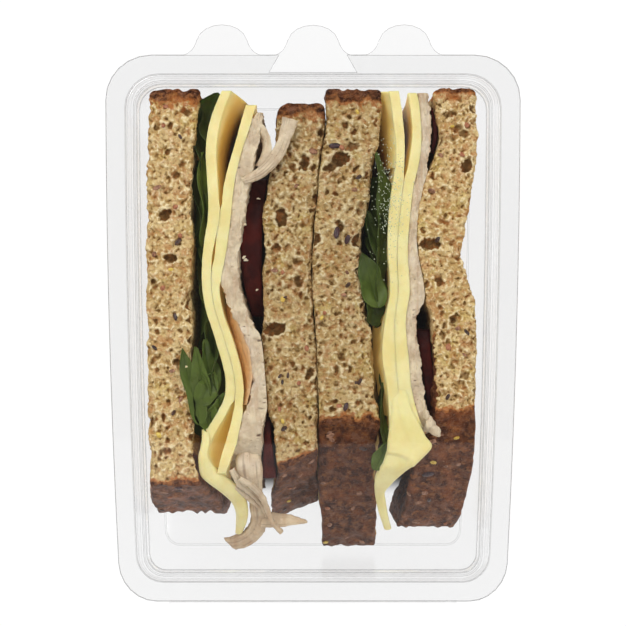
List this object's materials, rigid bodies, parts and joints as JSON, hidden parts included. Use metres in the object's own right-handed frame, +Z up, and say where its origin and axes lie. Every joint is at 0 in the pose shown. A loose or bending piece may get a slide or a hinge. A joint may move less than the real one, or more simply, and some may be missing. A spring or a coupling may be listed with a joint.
{
  "type": "packed turkey sandwich",
  "caption": "Clear hinged sandwich pack lying on its back, holding a turkey, cheese and salad sandwich in two halves, cut faces up.",
  "frame": {"origin": "middle of the pack's bounding box, on the surface under its tray", "axes": "+X across the pack, +Y along it from the hinge to the tabs, +Z up out of the window"},
  "size_m": [0.1184, 0.1646, 0.0645],
  "materials": {
    "clear_plastic": "clear, thin and glossy",
    "bread": "open seeded crumb with a dark brown crust",
    "cheese": "smooth and waxy",
    "turkey": "moist, with fine fibres",
    "tomato": "wet",
    "leaf": "soft sheen"
  },
  "bodies": {
    "tray": {"tray": "clear_plastic", "bread_slice_1": "bread", "bread_slice_2": "bread", "bread_slice_3": "bread", "bread_slice_4": "bread", "cheese_slice_1": "cheese", "cheese_slice_2": "cheese", "cheese_slice_3": "cheese", "cheese_slice_4": "cheese", "turkey_slice_1": "turkey", "turkey_slice_2": "turkey", "tomato_slice_1": "tomato", "tomato_slice_2": "tomato", "tomato_slice_3": "tomato", "tomato_slice_4": "tomato", "leaf_1": "leaf", "leaf_2": "leaf", "leaf_3": "leaf", "leaf_4": "leaf", "leaf_5": "leaf", "leaf_6": "leaf", "cheese_flap_left": "cheese", "cheese_flap_right": "cheese", "turkey_strip": "turkey", "turkey_flap": "turkey", "turkey_shred": "turkey"},
    "lid": {"lid": "clear_plastic"}
  },
  "joints": [
    {"name": "lid_hinge", "type": "hinge", "parent": "tray", "child": "lid", "pos_m": [0, -0.0825, 0.05015], "axis": [1, 0, 0], "range_deg": [0, 170]}
  ]
}
